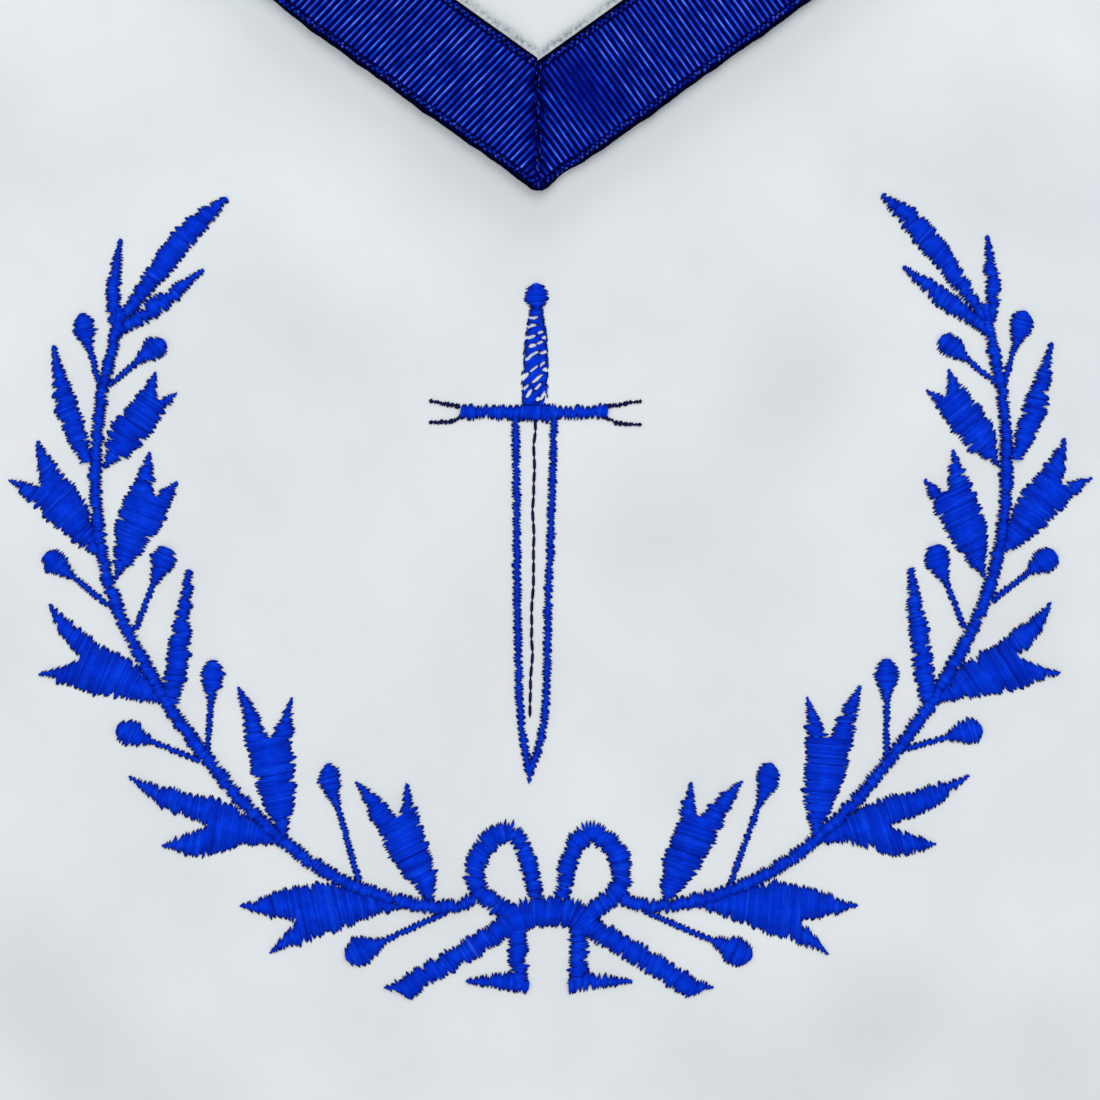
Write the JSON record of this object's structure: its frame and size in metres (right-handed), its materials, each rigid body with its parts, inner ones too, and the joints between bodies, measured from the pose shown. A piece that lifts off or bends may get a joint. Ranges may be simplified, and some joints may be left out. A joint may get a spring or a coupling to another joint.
{
  "type": "masonic apron",
  "caption": "White leather apron with a triangular ribbon-edged flap, a satin-stitched sword, wreath and bow, and a clasped waist belt.",
  "frame": {"origin": "centre of the panel's back face, on the surface that the apron lies on", "axes": "+X across the apron to the right as seen from the front, +Y up to the waist edge, +Z out of the front"},
  "size_m": [0.5232, 0.4596, 0.031],
  "materials": {
    "white_leather": "smooth soft white leather with a very fine grain",
    "blue_ribbon": "ribbed royal-blue grosgrain ribbon",
    "blue_thread": "glossy royal-blue satin stitch",
    "white_webbing": "plain white woven webbing",
    "nickel": "plain nickel-plated plate"
  },
  "bodies": {
    "root": {"apron_body": "white_leather", "flap": "white_leather", "flap_ribbon": "blue_ribbon", "border_ribbon": "blue_ribbon", "embroidered_wreath_left": "blue_thread", "embroidered_wreath_right": "blue_thread", "embroidered_bow": "blue_thread", "embroidered_sword": "blue_thread", "belt_right": "white_webbing", "belt_left": "white_webbing", "belt_clasp": "nickel"}
  },
  "joints": []
}
